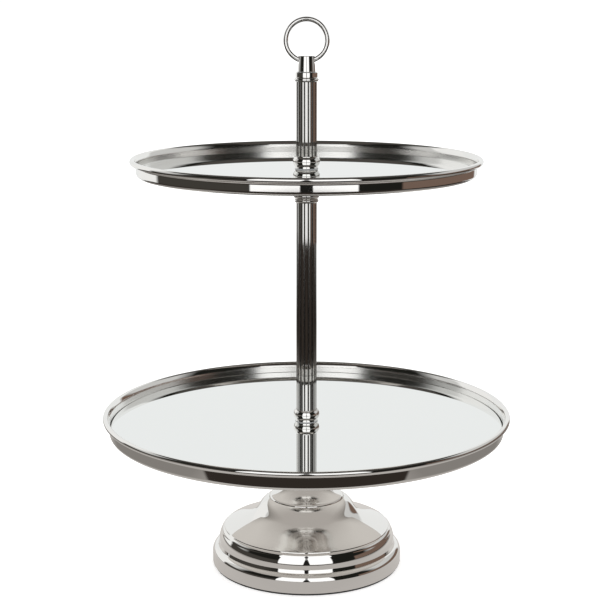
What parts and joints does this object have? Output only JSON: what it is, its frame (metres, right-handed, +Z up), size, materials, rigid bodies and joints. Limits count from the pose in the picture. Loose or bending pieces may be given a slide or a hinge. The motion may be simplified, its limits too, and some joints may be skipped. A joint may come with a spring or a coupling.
{
  "type": "tiered cake stand",
  "caption": "Tiered cake stand: round mirror-topped trays with flared rims on reeded screw-together posts, stepped pedestal foot, ring handle on top.",
  "frame": {"origin": "centre of the foot's underside, where the stand meets the table", "axes": "+Z up along the posts; the ring handle stands in the X-Z plane at rest"},
  "size_m": [0.3048, 0.3048, 0.411],
  "materials": {
    "foot_metal": "polished",
    "tray_metal": "polished",
    "turned_metal": "polished",
    "tube_metal": "polished",
    "ring_metal": "polished",
    "mirror_glass": "mirror",
    "core_board": "matte",
    "pad_rubber": "matte",
    "gasket_rubber": "matte",
    "clear_plastic": "satin",
    "weight_iron": "rough",
    "bolt_steel": "satin",
    "plug_brass": "satin"
  },
  "bodies": {
    "base": {"foot_shell": "foot_metal", "foot_neck": "foot_metal", "foot_pad": "pad_rubber", "foot_weight": "weight_iron", "foot_bolt": "bolt_steel", "foot_lock_washer": "bolt_steel", "lower_tray_gasket": "gasket_rubber", "lower_tray_pan": "tray_metal", "lower_tray_core": "core_board", "lower_tray_mirror": "mirror_glass"},
    "lower_washer": {"lower_post_washer": "clear_plastic"},
    "lower_post": {"lower_post_collar": "turned_metal", "lower_post_tube": "tube_metal", "lower_post_plug": "plug_brass", "lower_post_head": "turned_metal", "upper_tray_stud": "bolt_steel", "upper_tray_gasket": "gasket_rubber", "upper_tray_pan": "tray_metal", "upper_tray_core": "core_board", "upper_tray_mirror": "mirror_glass"},
    "upper_washer": {"upper_post_washer": "clear_plastic"},
    "upper_post": {"upper_post_collar": "turned_metal", "upper_post_tube": "tube_metal", "upper_post_plug": "plug_brass", "upper_post_head": "turned_metal"},
    "top_washer": {"finial_washer": "clear_plastic"},
    "finial": {"ferrule": "turned_metal", "ferrule_stud": "bolt_steel"},
    "ring": {"ring_handle": "ring_metal"}
  },
  "joints": [
    {"name": "lower_post_rise", "type": "slide", "parent": "base", "child": "lower_washer", "axis": [0, 0, 1], "range_m": [0, 0.008]},
    {"name": "lower_post_unscrew", "type": "hinge", "parent": "lower_washer", "child": "lower_post", "pos_m": [0, 0, 0.112], "axis": [0, 0, 1], "range_deg": [0, 2880]},
    {"name": "upper_post_rise", "type": "slide", "parent": "lower_post", "child": "upper_washer", "axis": [0, 0, 1], "range_m": [0, 0.008]},
    {"name": "upper_post_unscrew", "type": "hinge", "parent": "upper_washer", "child": "upper_post", "pos_m": [0, 0, 0.3025], "axis": [0, 0, 1], "range_deg": [0, 2880]},
    {"name": "finial_rise", "type": "slide", "parent": "upper_post", "child": "top_washer", "axis": [0, 0, 1], "range_m": [0, 0.0064]},
    {"name": "finial_unscrew", "type": "hinge", "parent": "top_washer", "child": "finial", "pos_m": [0, 0, 0.3721], "axis": [0, 0, 1], "range_deg": [0, 2880]},
    {"name": "ring_swing", "type": "hinge", "parent": "finial", "child": "ring", "pos_m": [0, 0, 0.3799], "axis": [1, 0, 0], "range_deg": [-150, 150]}
  ],
  "couplings": [
    {"joint": "lower_post_unscrew", "follows": "lower_post_rise", "rad_per_m": 6283.2},
    {"joint": "upper_post_unscrew", "follows": "upper_post_rise", "rad_per_m": 6283.2},
    {"joint": "finial_unscrew", "follows": "finial_rise", "rad_per_m": 7854}
  ]
}
